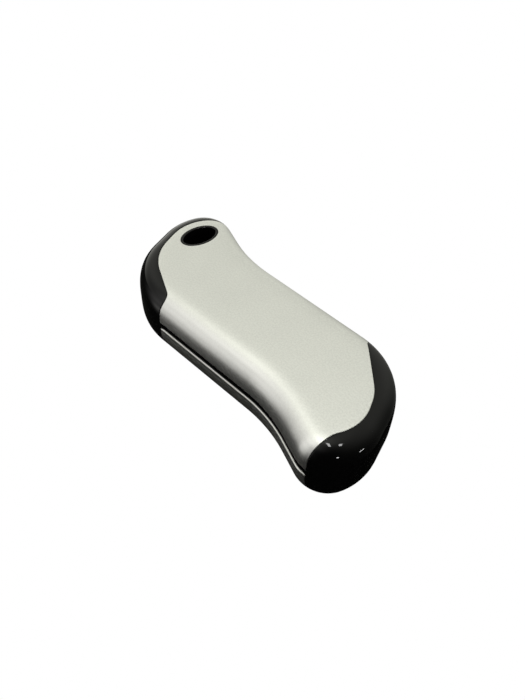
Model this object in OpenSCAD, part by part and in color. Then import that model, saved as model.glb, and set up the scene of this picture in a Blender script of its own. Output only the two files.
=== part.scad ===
// Rechargeable two-sided hand warmer: two metal heating panels on a glossy black frame,
// with a lanyard eyelet, two round cells, film heaters and a board with its ports.
// Origin at the middle of the resting face, +X to the plain end, -X to the eyelet end.

/* [Body] */
// Overall length
body_l = 122.9; // [118:0.5:130]
// Overall width across the two bulged corners
body_w = 48.6; // [47.6:0.2:54]
// Overall thickness
body_h = 25; // [24.6:0.2:29]
// How far the rounded shoulder reaches in from the side wall
shoulder = 11.5; // [9:0.25:11.5]
// Squareness of the rounded shoulder, 2 is an ellipse
squareness = 3.7; // [2.6:0.1:4.5]

/* [Plan outline, half of it; the other half is turned by 180 degrees] */
// Distance of the waist bend from the middle
waist_x = 27.1; // [24.5:0.5:30]
// Half width at the waist bend
waist_y = 18.4; // [18.2:0.1:20]
// Radius of the waist bend
waist_r = 55; // [40:1:70]
// Bulged corner point, in from the end
bulge_in = 3.8; // [3.4:0.1:4.4]
// Bulged corner point, out from the side
bulge_out = 3; // [2.8:0.1:4]
// Radius of the bulged corner
bulge_r = 12; // [11.7:0.1:12.2]
// End point of the outline, out from the end
end_out = 1.2; // [0.8:0.1:2]
// End point of the outline, sideways from the middle
end_y = 7.9; // [6.5:0.1:8]
// Radius of the end
end_r = 22.5; // [19:0.5:22.5]
// Rounded side point, in from the end
round_in = 12.3; // [10:0.1:14]
// Rounded side point, out from the side
round_out = 1.7; // [1.3:0.1:2.6]
// Radius of the rounded side
round_r = 28; // [24:0.5:29]

/* [Panels and frame] */
// Thickness of the metal panels
panel_t = 0.9; // [0.6:0.05:1.1]
// Height of the black side band between the panels
band_h = 2.6; // [2:0.1:4]
// Seam between a panel and the frame
seam = 0.08; // [0.05:0.01:0.15]
// Wall of the frame
wall = 2; // [1.6:0.05:2.1]
// Ledge of the end caps under a panel's edge
ledge = 3; // [2:0.25:4]
// Height of the frame's side lip above and below the middle
lip_h = 7.2; // [6.5:0.1:8]

/* [Lanyard eyelet] */
// Distance of the eyelet from the lanyard end
eyelet_in = 14.5; // [13.9:0.1:15.5]
// Offset of the eyelet towards the far side
eyelet_y = 9; // [8:0.25:9.5]
// Short diameter of the eyelet's rim
eyelet_w = 10.2; // [9:0.1:10.8]
// Long diameter of the eyelet's rim
eyelet_l = 15.8; // [14:0.1:16.4]
// Turn of the eyelet's long axis
eyelet_turn = -3.5; // [-6:0.5:3]
// Wall of the eyelet
eyelet_wall = 1; // [0.8:0.05:1.2]
// Shoulder that keeps the eyelet between the panels
eyelet_step = 0.8; // [0.6:0.05:1]

/* [Cells and heaters] */
// Diameter of a cell
cell_d = 18.4; // [18:0.05:18.5]
// Length of a cell
cell_l = 65; // [64:0.1:66]
// Gap between the cells
cell_gap = 0.1; // [0.05:0.05:0.3]
// Shift of the pack towards the plain end
pack_x = 4; // [3:0.25:4.5]
// Shift of the pack towards the near side
pack_y = 0.25; // [0.1:0.05:0.3]
// Wall of the brackets behind the cells
bracket_t = 1.4; // [1:0.1:1.8]
// Depth of the brackets over the cells
bracket_cup = 4; // [2:0.5:5]
// Thickness of a film heater
heater_t = 0.4; // [0.3:0.05:0.5]
// Width of a film heater
heater_w = 27; // [20:0.5:28]
// Length of a film heater
heater_l = 52; // [40:1:54]

/* [Board and ports] */
// Thickness of the circuit board
board_t = 1.2; // [1:0.1:1.6]
// Width of the power output's shell
usb_w = 13.1; // [12.6:0.1:13.4]
// Height of the power output's shell
usb_h = 5.7; // [5.4:0.1:6]
// Length of the power output's shell
usb_l = 10.5; // [9.6:0.1:11]
// Width of the charging input's shell
micro_w = 7.5; // [7:0.1:8]
// Height of the charging input's shell
micro_h = 2.7; // [2.4:0.1:3]
// Length of the charging input's shell
micro_l = 5.2; // [4.6:0.1:5.4]

/* [Power button] */
// Diameter of the button
button_d = 6; // [5:0.1:6.4]
// How far the button stands out of the wall
button_out = 0.7; // [0.6:0.05:1]
// Travel of the button
button_travel = 0.4; // [0.3:0.05:0.5]
// Running clearance round the button
button_gap = 0.12; // [0.08:0.01:0.2]

/* [Hidden] */

mid_z = body_h / 2;
touch = 0.05;                   // seat between two pieces that rest on each other

// ---- outline: rounded polygon, inset by any distance ----

function unit(v) = v / norm(v);
function left(v) = [-v.y, v.x];
function spot(c) = [c[0], c[1]];

// One rounded corner: [centre, radius, start angle, turn, side, segments]
function corner_arc(list, i) =
    let (n = len(list),
         a = spot(list[(i + n - 1) % n]),
         b = spot(list[i]),
         c = spot(list[(i + 1) % n]),
         r = list[i][2],
         u = unit(b - a),
         w = unit(c - b),
         turn = atan2(cross(u, w), u * w),
         side = sign(turn),
         start = b - u * r * tan(abs(turn) / 2),
         centre = start + left(u) * r * side,
         out = start - centre)
    [centre, r, atan2(out.y, out.x), turn, side, list[i][3]];

// Points of the rounded polygon, each moved inwards by d
function rounded(list, d = 0) =
    [for (i = [0 : len(list) - 1])
        let (a = corner_arc(list, i))
        for (k = [0 : a[5]])
            let (t = a[2] + a[3] * k / a[5])
            a[0] + (a[1] - a[4] * d) * [cos(t), sin(t)]];

half_outline = [
    [waist_x, -waist_y, waist_r, 4],
    [body_l / 2 - bulge_in, -(body_w / 2 + bulge_out), bulge_r, 9],
    [body_l / 2 + end_out, -end_y, end_r, 6],
    [body_l / 2 - round_in, body_w / 2 + round_out, round_r, 9]];
body_corners = concat(half_outline, [for (c = half_outline) [-c[0], -c[1], c[2], c[3]]]);
// Centres and radii of the arcs of the lanyard end
bulge_arc = corner_arc(body_corners, 5);
end_arc = corner_arc(body_corners, 6);
round_arc = corner_arc(body_corners, 7);

// The straight sides, which the cells lie along
side_run = [body_l / 2 - round_in + waist_x, body_w / 2 + round_out - waist_y];
tilt = atan2(side_run.y, side_run.x);
half_side = waist_y * cos(tilt) + waist_x * sin(tilt);

// ---- body form: rings of the outline with a rounded section ----

// Inset and height of one ring of the form that lies t inside the body
function ring_inset(a, t) = t + (shoulder - t) * (1 - pow(cos(a), 2 / squareness));
function ring_z(a, t) = mid_z + sign(a) * (mid_z - t) * pow(abs(sin(a)), 2 / squareness);

count = len(rounded(body_corners));
half_count = count / 2;
// The outline's point at the middle of the plain end
apex = half_outline[0][3] + half_outline[1][3] + 2 + half_outline[2][3] / 2;

module form(t, rings = 7) {
    ring_angles = [for (j = [-rings : rings]) 90 * j / rings];
    points = [for (a = ring_angles) for (p = rounded(body_corners, ring_inset(a, t)))
        [p.x, p.y, ring_z(a, t)]];
    walls = [for (j = [0 : 2 * rings - 1]) for (i = [0 : count - 1])
        let (a = j * count + i, b = j * count + (i + 1) % count)
        each [[a, b + count, b], [a, a + count, b + count]]];
    function near(k) = (apex - k + count) % count;
    function far_side(k) = (apex + k) % count;
    top = 2 * rings * count;
    caps = [for (k = [0 : half_count - 1])
        let (n0 = near(k), n1 = near(k + 1), f0 = far_side(k), f1 = far_side(k + 1))
        each concat(
            k > 0 ? [[n0, f0, n1], [top + n0, top + n1, top + f0]] : [],
            k < half_count - 1 ? [[f0, f1, n1], [top + f0, top + n1, top + f1]] : [])];
    polyhedron(points, concat(walls, caps));
}

// ---- plan of the metal panels: an S-curve across each end ----

clear_y = body_w / 2 + 10;      // clear of the body's sides
end_x = body_l / 2;
panel_plan = [
    [-end_x + 27.2, -clear_y, 1, 1],
    [end_x - 10.4, -clear_y, 1, 1],
    [end_x - 9.7, -14.6, 8, 3],
    [end_x - 5.9, -5.6, 16.3, 6],
    [end_x - 12.5, 6.5, 17.8, 3],
    [end_x - 30.5, 21.3, 4, 6],
    [end_x - 28, clear_y, 1, 1],
    [-end_x + 12.5, clear_y, 1, 1],
    [-end_x + 14.4, 22.4, 5, 5],
    [-end_x + 3.3, 12.2, 17, 8],
    [-end_x + 12.9, -10.7, 22.4, 5],
    [-end_x + 36.8, -20.2, 3.9, 8]];

module panel_area(inset) {
    offset(delta = -inset) polygon(rounded(panel_plan));
}

// ---- frames of reference ----

// On the body's middle plane, along the straight sides
module along_pack(x = 0, y = 0, z = 0) {
    rotate(tilt) translate([x + pack_x, y - pack_y, z + mid_z]) children();
}

// On an arc of the lanyard end: +X points out of the wall
module at_wall(arc, angle, z) {
    translate([arc[0].x, arc[0].y, z]) rotate(angle) translate([arc[1], 0, 0]) children();
}

// Once on each long side: straight up from the side's inner face
module both_sides() {
    for (side = [0, 1]) rotate(tilt + 180 * side) children();
}

module box(x0, x1, y0, y1, z0, z1) {
    translate([x0, y0, z0]) cube([x1 - x0, y1 - y0, z1 - z0]);
}

// The top piece and its mirror image below
module both_faces() {
    children();
    translate([0, 0, body_h]) mirror([0, 0, 1]) children();
}

// ---- eyelet: an oval path with rounded lips ----

eyelet_at = [-end_x + eyelet_in, eyelet_y];
eyelet_steps = 40;

function oval(a, b) = [for (i = [0 : eyelet_steps - 1])
    let (t = 360 * i / eyelet_steps) [a * cos(t), b * sin(t)]];

// A plain oval block, grown by d, for the holes it passes through
module eyelet_block(d, z0, z1) {
    translate([eyelet_at.x, eyelet_at.y, z0]) rotate(eyelet_turn)
        linear_extrude(z1 - z0) polygon(oval(eyelet_w / 2 + d, eyelet_l / 2 + d));
}

// ---- places shared by several pieces ----

// Cells: centres to the left and right of the pack's middle line
cell_y = (cell_d + cell_gap) / 2;
strip_t = 0.2;
strip_w = 29;
strip_h = 7;
nub = 0.6;
// Outer face of the brackets, from the pack's middle
bracket_x = cell_l / 2 + strip_t + touch + bracket_t;
bracket_w = 35;

// Outermost side ribs, just clear of the brackets at either end, and the inner ones
rib_x = cell_l / 2 - bracket_cup - pack_x - 1.5;
rib_middle_x = 9;
rib_w = 1.4;
rib_reach = 2.6;
// Ribs of the plain end: out to either side of the pack's middle, and half their height
rear_rib_y = 12;
rear_rib_w = 1.6;
rear_rib_h = 6.5;
// Stops against the front bracket: from the pack's middle out into the side walls
stop_in = 15.5;
stop_out = 28.5;
stop_t = 1.4;

// Inside surface of a panel over a point that lies in from the outline
function under_panel(inset) =
    let (c = max(0, 1 - (inset - panel_t) / (shoulder - panel_t)))
    mid_z + (mid_z - panel_t) * pow(1 - pow(c, squareness), 1 / squareness);
heater_top = under_panel(half_side - heater_w / 2 - pack_y) - touch - mid_z;
pad_w = heater_w - 3;
pad_l = heater_l - 5;
// The brackets fill half of the room between a cell and its heater's lead
bracket_rim = (heater_top - heater_t - cell_d / 2) / 2;

// Board: its ports lie about the middle plane
board_top = mid_z - usb_h / 2;
board_bottom = board_top - board_t;
board_gap = 0.35;
usb_angle = 216;
micro_angle = 183;
light_angle = 200;
button_angle = 143;
port_recess = 0.9;
usb_corner = 0.3;
micro_corner = 0.8;

// Posts under the board, against the side walls of the lanyard end
post_r = 2.2;
post_h = 3.6;
screw_r = 0.8;
screw_l = 3;
board_edge = rounded(body_corners, wall + post_r - 0.4);
posts = [board_edge[half_count + half_outline[0][3] + 1], board_edge[count - 3]];

// Snap tabs along the straight sides
tab_places = [-18, 0, 18];
tab_w = 5;
tab_t = 0.7;
tab_gap = 0.12;
tab_hook = 0.6;
tab_low = 3.8;                  // lowest point of a tab above the middle plane
hook_h = 1.1;

// Stem and flange of the button
flange_r = button_d / 2 + 0.8;
flange_t = 0.8;
// The wall curves in behind the button, so its flange lies this much deeper
flange_in = let (r = bulge_r - wall) r - sqrt(r * r - flange_r * flange_r);
stem_r = 1.3;
stem_l = 0.5;
plunger_r = 1.6;
plunger_l = 1.2;                // also the depth of its hole in the switch
switch_t = 2.6;
switch_w = 4.6;
flange_x = -wall - flange_in - 0.1;
stem_x = flange_x - flange_t - stem_l;
switch_x = stem_x - 0.6;

// ---- metal panels ----

module snap_tab() {
    inner = half_side - wall - tab_gap;         // outer face of the tab's leg
    top = lip_h + 0.15;                         // just over the frame's lip
    // arm from the panel's shoulder over the lip
    hull() {
        box(-tab_w / 2, tab_w / 2, inner - tab_t, inner + 1.9, mid_z + top, mid_z + top + 0.5);
        box(-tab_w / 2, tab_w / 2, inner - tab_t, inner + 0.6, mid_z + top, mid_z + top + 2);
    }
    // leg down the inside of the lip
    hull() {
        box(-tab_w / 2, tab_w / 2, inner - tab_t, inner, mid_z + tab_low + 1, mid_z + top + 0.5);
        box(-tab_w / 2 + 0.6, tab_w / 2 - 0.6, inner - tab_t, inner, mid_z + tab_low,
            mid_z + top);
    }
    // hook into the lip's pocket
    hull() {
        box(-tab_w / 2 + 0.6, tab_w / 2 - 0.6, inner - tab_t, inner, mid_z + tab_low,
            mid_z + tab_low + 0.2);
        box(-tab_w / 2 + 0.6, tab_w / 2 - 0.6, inner - 0.1, inner + tab_hook,
            mid_z + tab_low + hook_h - 0.2, mid_z + tab_low + hook_h);
    }
}

module panel() {
    difference() {
        union() {
            intersection() {
                difference() {
                    form(0);
                    form(panel_t);
                }
                translate([0, 0, mid_z + band_h / 2 + seam])
                    linear_extrude(body_h) panel_area(0);
            }
            intersection() {
                both_sides() for (x = tab_places) translate([x, 0, 0]) snap_tab();
                form(panel_t / 2);
            }
        }
        eyelet_block(seam, mid_z, body_h + 1);
    }
}

module top_shell() color([0.74, 0.74, 0.70]) panel();

module bottom_shell() color([0.70, 0.70, 0.67])
    translate([0, 0, body_h]) mirror([0, 0, 1]) panel();

// ---- glossy black frame ----

// Space for a panel's edge in the frame's skin, and the open window under the panel
module panel_space() {
    difference() {
        translate([0, 0, mid_z + band_h / 2]) linear_extrude(body_h) panel_area(-seam);
        form(panel_t + touch);
    }
    translate([0, 0, mid_z + lip_h]) linear_extrude(body_h) panel_area(ledge);
}

// Ribs from the side wall that the cells lie between
module side_rib(x) {
    root = half_side - wall;
    for (up = [0, 1]) mirror_z(up) hull() {
        box(x - rib_w / 2, x + rib_w / 2, root - 0.1, root + wall, 1, lip_h);
        box(x - rib_w / 2, x + rib_w / 2, root - rib_reach, root, lip_h - 1.2, lip_h);
    }
}

// Above the middle plane, or mirrored below it
module mirror_z(down) {
    translate([0, 0, mid_z]) mirror([0, 0, down]) children();
}

// Post for a board screw, tied to the wall behind it
module post(p, d) {
    translate([p.x, p.y, board_bottom - touch - post_h]) hull() {
        cylinder(r = post_r, h = post_h, $fn = 16);
        translate([d.x, d.y, 0.4]) cylinder(r = post_r - 0.5, h = post_h - 0.8, $fn = 16);
    }
}

// Room round both cells
module cell_room(gap) {
    for (s = [-1, 1]) along_pack(0, s * cell_y, 0) rotate([0, 90, 0])
        cylinder(d = cell_d + 2 * gap, h = cell_l + 2, center = true, $fn = 48);
}

module frame_inside() {
    both_sides() for (x = [-rib_x, -rib_middle_x, rib_middle_x, rib_x]) side_rib(x);
    post(posts[0], [0, 2]);
    post(posts[1], [0, -2]);
    // ribs of the plain end, from the rear bracket into the end wall
    for (y = [-rear_rib_y, 0, rear_rib_y]) along_pack(bracket_x, y) hull() {
        box(touch, end_x, -rear_rib_w / 2, rear_rib_w / 2, 1.5 - rear_rib_h, rear_rib_h - 1.5);
        box(2, end_x, -rear_rib_w / 2, rear_rib_w / 2, -rear_rib_h, rear_rib_h);
    }
    // stops in front of the front bracket, over the board
    for (side = [0, 1]) along_pack(-bracket_x - touch) mirror([0, side, 0]) hull() {
        box(-stop_t, 0, stop_in, stop_out, -1, lip_h - 0.6);
        box(-stop_t + 0.4, 0, stop_in, stop_out, -1.4, lip_h);
    }
}

module frame() color([0.05, 0.05, 0.055]) {
    difference() {
        union() {
            difference() {
                form(0);
                form(wall, 4);
            }
            intersection() {
                difference() {
                    frame_inside();
                    cell_room(0.15);
                }
                form(wall / 2, 4);
            }
        }
        both_faces() panel_space();
        eyelet_block(eyelet_step + 0.15, -1, body_h + 1);
        // channels for the tabs and pockets for their hooks, above and below the band
        for (up = [0, 1]) mirror_z(up) both_sides() for (x = tab_places) {
            box(x - tab_w / 2 - 0.2, x + tab_w / 2 + 0.2, half_side - wall - 3,
                half_side - wall, tab_low - 0.2, lip_h + 1);
            box(x - tab_w / 2 - 0.2, x + tab_w / 2 + 0.2, half_side - wall - 1,
                half_side - wall + tab_hook + 0.1, tab_low - 0.2, tab_low + hook_h + 0.25);
        }
        // mouths of the ports, the light pipe and the button
        at_wall(round_arc, usb_angle, board_top) port_mouth(usb_w, usb_h, usb_corner);
        at_wall(end_arc, micro_angle, board_top) port_mouth(micro_w, micro_h, micro_corner);
        at_wall(end_arc, light_angle, board_top) light_pins(touch, wall + 2);
        at_wall(bulge_arc, button_angle, mid_z) rotate([0, 90, 0])
            cylinder(r = button_d / 2 + button_gap, h = 3 * wall, center = true, $fn = 48);
        for (p = posts) translate([p.x, p.y, board_bottom - 4])
            cylinder(r = screw_r + 0.1, h = 5, $fn = 16);
    }
}

// Slot through the wall round a port's shell
module port_mouth(w, h, corner) {
    rotate([90, 0, 90]) linear_extrude(3 * wall + 4, center = true)
        offset(delta = touch) port_section(w, h, corner);
}

// ---- lanyard eyelet ----

// A tube with rounded lips: a closed profile of [outward offset, height] round the oval
module lanyard_eyelet() color([0.04, 0.04, 0.045]) {
    w = eyelet_wall;
    step_z = body_h - panel_t - touch - 0.5;    // top of the shoulder, under the panel
    upper = [
        [eyelet_step, mid_z + 1], [eyelet_step, step_z - 0.3], [eyelet_step - 0.3, step_z],
        [0, step_z], [0, body_h - 0.25], [-0.2, body_h - 0.05], [-w + 0.35, body_h - 0.05],
        [-w, body_h - 0.45]];
    lower = [for (i = [len(upper) - 1 : -1 : 0]) [upper[i][0], body_h - upper[i][1]]];
    profile = concat(upper, lower);
    m = len(profile);
    n = eyelet_steps;
    points = [for (p = profile) for (q = oval(eyelet_w / 2 + p[0], eyelet_l / 2 + p[0]))
        [q.x, q.y, p[1]]];
    faces = [for (j = [0 : m - 1]) for (i = [0 : n - 1])
        let (a = j * n + i, b = j * n + (i + 1) % n,
             c = ((j + 1) % m) * n + i, d = ((j + 1) % m) * n + (i + 1) % n)
        each [[a, d, b], [a, c, d]]];
    translate([eyelet_at.x, eyelet_at.y, 0]) rotate(eyelet_turn) polyhedron(points, faces);
}

// ---- cells and their pack ----

// A round cell on its side, positive end towards -X
module cell(y) {
    r = cell_d / 2;
    l = cell_l;
    groove = 3.2;
    along_pack(-l / 2, y, 0) rotate([0, 90, 0]) rotate_extrude($fn = 72)
        polygon([[0, 0], [4.5, 0], [4.5, nub], [r - 1.2, nub], [r - 0.3, nub + 0.4],
            [r, nub + 1.1], [r, groove], [r - 0.5, groove + 0.35], [r, groove + 0.7],
            [r, l - 0.4], [r - 0.4, l], [0, l]]);
}

module cell_a() color([0.20, 0.42, 0.62]) cell(-cell_y);

module cell_b() color([0.20, 0.42, 0.62]) cell(cell_y);

module cell_insulators() color([0.93, 0.93, 0.90]) {
    for (s = [-1, 1]) along_pack(-cell_l / 2 + nub - 0.25, s * cell_y, 0) rotate([0, 90, 0])
        difference() {
            cylinder(r = cell_d / 2 - 1.2, h = 0.25, $fn = 48);
            translate([0, 0, -1]) cylinder(r = 5, h = 3, $fn = 48);
        }
}

// Welded strip across the ends of both cells, slotted at each weld
module tab_strip(x) {
    difference() {
        along_pack() box(x, x + strip_t, -strip_w / 2, strip_w / 2, -strip_h / 2, strip_h / 2);
        for (s = [-1, 1]) along_pack(x, s * cell_y) cube([3, 6, 0.8], center = true);
    }
}

module tab_strip_front() color([0.72, 0.71, 0.66]) tab_strip(-cell_l / 2 - strip_t);

module tab_strip_rear() color([0.72, 0.71, 0.66]) tab_strip(cell_l / 2);

// Bracket over the cells' ends, drawn in the pack's own frame at its rear
module bracket() {
    deep = bracket_t + touch + strip_t + bracket_cup;
    r = cell_d / 2 + bracket_rim;
    difference() {
        translate([bracket_x - deep, 0, 0]) rotate([90, 0, 90]) linear_extrude(deep)
            intersection() {
                union() {
                    for (s = [-1, 1]) translate([s * cell_y, 0]) circle(r, $fn = 96);
                    square([2 * cell_y, 2 * r], center = true);
                }
                square([bracket_w, 3 * r], center = true);
            }
        for (s = [-1, 1]) translate([0, s * cell_y, 0]) rotate([0, 90, 0])
            cylinder(d = cell_d + 2 * touch, h = cell_l / 2, $fn = 72);
        // room for the strip and a window for the leads
        box(0, cell_l / 2 + strip_t + touch, -strip_w / 2 - 0.5, strip_w / 2 + 0.5,
            -strip_h / 2 - 0.5, strip_h / 2 + 0.5);
        box(0, bracket_x + 1, -7, 7, -3, 3);
    }
}

module cell_bracket_rear() color([0.86, 0.86, 0.82]) along_pack() bracket();

module cell_bracket_front() color([0.86, 0.86, 0.82]) along_pack() rotate(180) bracket();

// ---- heaters and pads ----

module heater() {
    along_pack() difference() {
        box(-heater_l / 2, heater_l / 2, -heater_w / 2, heater_w / 2, heater_top - heater_t,
            heater_top);
        for (x = [-1, 1]) for (y = [-1, 1])
            translate([x * heater_l / 2, y * heater_w / 2, 0]) rotate(45)
                cube([3, 3, body_h * 2], center = true);
    }
}

module top_heater() color([0.80, 0.45, 0.12]) heater();

module bottom_heater() color([0.80, 0.45, 0.12])
    translate([0, 0, body_h]) mirror([0, 0, 1]) heater();

module foam_pad() {
    along_pack() box(-pad_l / 2, pad_l / 2, -pad_w / 2, pad_w / 2, cell_d / 2 + touch,
        heater_top - heater_t - touch);
}

module top_foam_pad() color([0.30, 0.30, 0.32]) foam_pad();

module bottom_foam_pad() color([0.30, 0.30, 0.32])
    translate([0, 0, body_h]) mirror([0, 0, 1]) foam_pad();

module thermistor() color([0.10, 0.10, 0.10])
    along_pack(pad_l / 2 + 0.2, 0, heater_top - heater_t) box(0, 1.2, -1.5, 1.5, -1, 0);

// ---- circuit board and what it carries ----

module control_board() color([0.05, 0.30, 0.16]) {
    difference() {
        intersection() {
            translate([0, 0, board_bottom]) linear_extrude(board_t)
                polygon(rounded(body_corners, wall + board_gap));
            along_pack() box(-end_x - 20, -bracket_x - 0.5, -body_w, body_w, -mid_z, mid_z);
        }
        eyelet_block(eyelet_step + 0.4, 0, body_h);
        for (p = posts) translate([p.x, p.y, 0])
            cylinder(r = screw_r + 0.15, h = body_h, $fn = 32);
        // room for the button's flange
        at_wall(bulge_arc, button_angle, 0)
            box(flange_x - flange_t - button_travel - 0.3, 0, -flange_r - 0.3, flange_r + 0.3, 0,
                body_h);
        // legs of the power output
        for (y = [-1, 1]) at_wall(round_arc, usb_angle, 0)
            translate([-port_recess - usb_l / 2, y * (usb_w / 2 - 0.15), 0])
                cylinder(r = 0.7, h = body_h, $fn = 24);
    }
}

module board_screws() color([0.75, 0.75, 0.76]) {
    for (p = posts) translate([p.x, p.y, board_top]) {
        difference() {
            cylinder(r = 1.5, h = 1, $fn = 32);
            for (a = [0, 90]) translate([0, 0, 1]) rotate(a) cube([1.8, 0.4, 1], center = true);
        }
        translate([0, 0, -screw_l]) cylinder(r = screw_r, h = screw_l, $fn = 32);
    }
}

// Open metal shell of a port, mouth at x = 0, resting at z = 0
module port_shell(w, h, l, t, chamfer) {
    rotate([90, 0, -90]) linear_extrude(l) difference() {
        port_section(w, h, chamfer);
        translate([0, t]) port_section(w - 2 * t, h - 2 * t, chamfer * (1 - t / h));
    }
}

// Section of a port's shell, its lower corners cut off
module port_section(w, h, chamfer) {
    polygon([[-w / 2, chamfer], [-w / 2 + chamfer, 0], [w / 2 - chamfer, 0], [w / 2, chamfer],
        [w / 2, h], [-w / 2, h]]);
}

module usb_a_socket() color([0.78, 0.78, 0.78])
    at_wall(round_arc, usb_angle, board_top) translate([-port_recess, 0, 0]) {
        difference() {
            port_shell(usb_w, usb_h, usb_l, 0.3, usb_corner);
            // spring windows in the roof and the floor
            for (y = [-1, 1]) translate([-5, y * 3, usb_h / 2])
                cube([4, 1.8, usb_h * 2], center = true);
        }
        // spring fingers in the windows
        for (y = [-1, 1]) translate([-3.6, y * 3 - 0.6, usb_h - 0.25]) cube([1, 1.2, 0.2]);
        // legs through the board
        for (y = [-1, 1]) translate([-usb_l / 2, y * (usb_w / 2 - 0.15), 0])
            box(-0.5, 0.5, -0.15, 0.15, -board_t - 0.8, 0.2);
    }

module usb_a_tongue() color([0.92, 0.92, 0.90])
    at_wall(round_arc, usb_angle, board_top) translate([-port_recess, 0, 0]) {
        box(-usb_l + 0.1, -usb_l + 1.6, -usb_w / 2 + 0.35, usb_w / 2 - 0.35, 0.6, usb_h - 0.35);
        box(-usb_l + 1.5, -0.7, -5.5, 5.5, usb_h / 2 + 0.1, usb_h / 2 + 1.9);
        for (y = [-3.5, -1, 1, 3.5])
            box(-usb_l + 1.5, -1.2, y - 0.5, y + 0.5, usb_h / 2 - 0.05, usb_h / 2 + 0.15);
    }

module micro_usb_socket() color([0.78, 0.78, 0.78])
    at_wall(end_arc, micro_angle, board_top) translate([-port_recess, 0, 0])
        port_shell(micro_w, micro_h, micro_l, 0.25, micro_corner);

module micro_usb_tongue() color([0.12, 0.12, 0.12])
    at_wall(end_arc, micro_angle, board_top) translate([-port_recess, 0, 0]) {
        box(-micro_l + 0.05, -micro_l + 1.2, -micro_w / 2 + 1.1, micro_w / 2 - 1.1, 0.3,
            micro_h - 0.3);
        box(-micro_l + 1.1, -0.8, -1.8, 1.8, micro_h / 2 - 0.1, micro_h / 2 + 0.5);
    }

// Pins of the light pipe, in a column over the board
module light_pins(gap, l) {
    for (i = [0 : 3]) translate([-l + 2 * touch + gap * 4, 0, 0.9 + 1.9 * i]) rotate([0, 90, 0])
        cylinder(r = 0.6 + gap, h = l, $fn = 16);
}

module light_pipe() color([0.95, 0.95, 0.98])
    at_wall(end_arc, light_angle, board_top) {
        intersection() {
            light_pins(0, wall + 0.6);
            box(-9, -0.15, -3, 3, 0, 9);
        }
        box(-wall - 1.4, -wall - 0.4, -1, 1, 0.1, 7.4);
    }

module indicator_leds() color([0.98, 0.98, 0.90])
    at_wall(end_arc, light_angle, board_top)
        for (i = [0 : 1]) translate([-wall - 2.6 - 1.4 * i, -0.5, 0])
            cube([1.1, 1, 0.6]);

// ---- power button ----

module power_button() color([0.07, 0.07, 0.075])
    at_wall(bulge_arc, button_angle, mid_z) rotate([0, 90, 0]) rotate_extrude($fn = 72)
        polygon([[0, stem_x], [stem_r, stem_x], [stem_r, flange_x - flange_t],
            [flange_r, flange_x - flange_t], [flange_r, flange_x], [button_d / 2, flange_x],
            [button_d / 2, button_out - 0.4], [button_d / 2 - 0.15, button_out - 0.12],
            [button_d / 2 - 0.5, button_out], [0, button_out]]);

module switch_plunger() color([0.88, 0.86, 0.80])
    at_wall(bulge_arc, button_angle, mid_z) translate([stem_x - 0.02, 0, 0])
        rotate([0, -90, 0]) cylinder(r = plunger_r, h = plunger_l, $fn = 48);

module tact_switch() color([0.15, 0.15, 0.16])
    at_wall(bulge_arc, button_angle, 0) difference() {
        box(switch_x - switch_t, switch_x, -switch_w / 2, switch_w / 2, board_top,
            mid_z + switch_w / 2);
        translate([switch_x - plunger_l, 0, mid_z]) rotate([0, 90, 0])
            cylinder(r = plunger_r + 0.08, h = 3, $fn = 48);
    }

// ---- small parts on the board ----

// Places in front of the front bracket, and sideways from the pack's middle
inductor_at = [6, 4.9];
inductor_w = 6;
inductor_h = 3;
inductor_flange = 0.6;
chip_at = [6.9, -9.1];
chip_l = 5;
chip_w = 4;
chip_h = 1.2;
small_chip_at = [6.2, 18];
small_chip_w = 3;
small_chip_h = 0.9;
capacitor_places = [[7.6, 10.5], [5.3, 10.3], [2.9, 15.6], [2.6, 18.6]];
capacitor_l = 2.5;
capacitor_w = 1.6;
capacitor_h = 1.2;

module on_board(p) {
    along_pack(-bracket_x - p.x, p.y, board_top - mid_z) children();
}

// A block that stands on the board
module chip(l, w, h) {
    box(-l / 2, l / 2, -w / 2, w / 2, 0, h);
}

module boost_inductor() color([0.22, 0.22, 0.23]) on_board(inductor_at) {
    chip(inductor_w, inductor_w, inductor_flange);
    cylinder(d = inductor_w * 0.9, h = inductor_h - 0.3, $fn = 48);
    translate([0, 0, inductor_h - inductor_flange])
        chip(inductor_w, inductor_w, inductor_flange);
}

module board_chips() color([0.08, 0.08, 0.09]) {
    on_board(chip_at) chip(chip_l, chip_w, chip_h);
    on_board(small_chip_at) chip(small_chip_w, small_chip_w, small_chip_h);
}

module board_capacitors() color([0.62, 0.50, 0.36])
    for (p = capacitor_places) on_board(p) chip(capacitor_w, capacitor_l, capacitor_h);

// ---- leads ----

lead_r = 0.6;
lead_bend = 1.6;
flat_lead_y = 9;
flat_lead_t = 0.2;
flat_lead_w = 5;
flat_lead_bend = 1.2;

// From the front strip through the bracket's window and down to the board
module battery_lead(y) {
    x0 = -cell_l / 2 - strip_t;
    run = bracket_t + 2.4;
    drop = mid_z - board_top - lead_bend;
    along_pack(x0, y, 0) {
        rotate([0, -90, 0]) cylinder(r = lead_r, h = run, $fn = 24);
        translate([-run, 0, -lead_bend]) rotate([90, 0, 0]) rotate(90)
            rotate_extrude(angle = 90, $fn = 48) translate([lead_bend, 0])
                circle(lead_r, $fn = 24);
        translate([-run - lead_bend, 0, -lead_bend - drop])
            cylinder(r = lead_r, h = drop, $fn = 24);
    }
}

module battery_leads() {
    color([0.70, 0.08, 0.06]) battery_lead(-1.5);
    color([0.06, 0.06, 0.06]) battery_lead(-5);
}

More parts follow.
